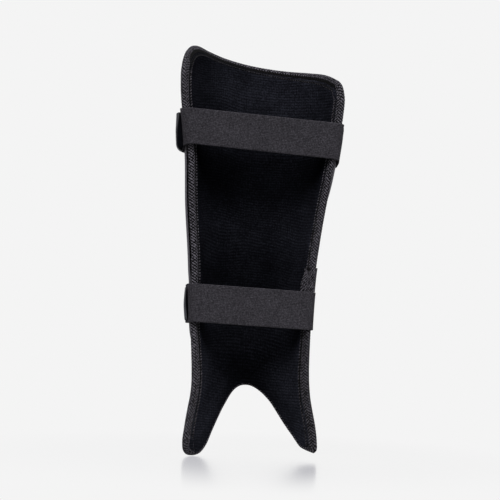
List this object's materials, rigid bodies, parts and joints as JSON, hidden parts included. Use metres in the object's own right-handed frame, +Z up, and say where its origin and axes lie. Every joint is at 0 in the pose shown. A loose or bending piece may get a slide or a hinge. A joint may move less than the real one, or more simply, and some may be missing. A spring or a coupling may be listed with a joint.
{
  "type": "shin guard",
  "caption": "Field hockey shin guard: moulded half-pipe shell on a bound foam pad with an ankle arch, held by two elastic straps with hook tabs.",
  "frame": {"origin": "middle of the guard's bounding box, at the height of the lower prong tip", "axes": "+Z up the shin from ankle to knee, +Y out through the hard shell at the front of the leg, +X to the right for a viewer behind the leg"},
  "size_m": [0.1376, 0.0686, 0.3346],
  "materials": {
    "shell": "semi-gloss moulded black, fine grain",
    "cover": "black tight-knit polyester",
    "foam": "black closed-cell foam",
    "liner": "near-black brushed knit with fine ribs",
    "binding": "dark grey herringbone tape",
    "webbing": "dark grey soft woven elastic",
    "hook_loop": "black hook and loop pile",
    "soft_rubber": "satin black moulded rubber",
    "rivet": "black satin coated"
  },
  "bodies": {
    "guard": {"liner": "liner", "foam_core": "foam", "front_cover": "cover", "outer_shell": "shell", "edge_binding": "binding", "binding_fold": "binding", "upper_strap_anchor": "webbing", "upper_anchor_plate": "soft_rubber", "upper_loop_patch": "hook_loop", "upper_rivet_top": "rivet", "upper_rivet_bottom": "rivet", "lower_strap_anchor": "webbing", "lower_anchor_plate": "soft_rubber", "lower_loop_patch": "hook_loop", "lower_rivet_top": "rivet", "lower_rivet_bottom": "rivet"},
    "upper_strap": {"upper_strap_band": "webbing"},
    "upper_tab": {"upper_strap_tab": "webbing", "upper_hook_patch": "hook_loop", "upper_pull_grip": "soft_rubber"},
    "lower_strap": {"lower_strap_band": "webbing"},
    "lower_tab": {"lower_strap_tab": "webbing", "lower_hook_patch": "hook_loop", "lower_pull_grip": "soft_rubber"}
  },
  "joints": [
    {"name": "upper_strap_swing", "type": "hinge", "parent": "guard", "child": "upper_strap", "pos_m": [0.06414, -0.03299, 0.25716], "axis": [0.1408, 0.0098, 0.99], "range_deg": [0, 55]},
    {"name": "upper_tab_peel", "type": "hinge", "parent": "upper_strap", "child": "upper_tab", "pos_m": [-0.0613, -0.03292, 0.26449], "axis": [-0.1724, 0.0112, 0.985], "range_deg": [0, 110]},
    {"name": "lower_strap_swing", "type": "hinge", "parent": "guard", "child": "lower_strap", "pos_m": [0.04691, -0.03279, 0.11994], "axis": [0.0383, 0.0003, 0.9993], "range_deg": [0, 55]},
    {"name": "lower_tab_peel", "type": "hinge", "parent": "lower_strap", "child": "lower_tab", "pos_m": [-0.05097, -0.03309, 0.12342], "axis": [-0.0218, -0.0066, 0.9997], "range_deg": [0, 110]}
  ],
  "couplings": [
    {"joint": "upper_tab_peel", "follows": "upper_strap_swing", "ratio": 2},
    {"joint": "lower_tab_peel", "follows": "lower_strap_swing", "ratio": 2}
  ]
}
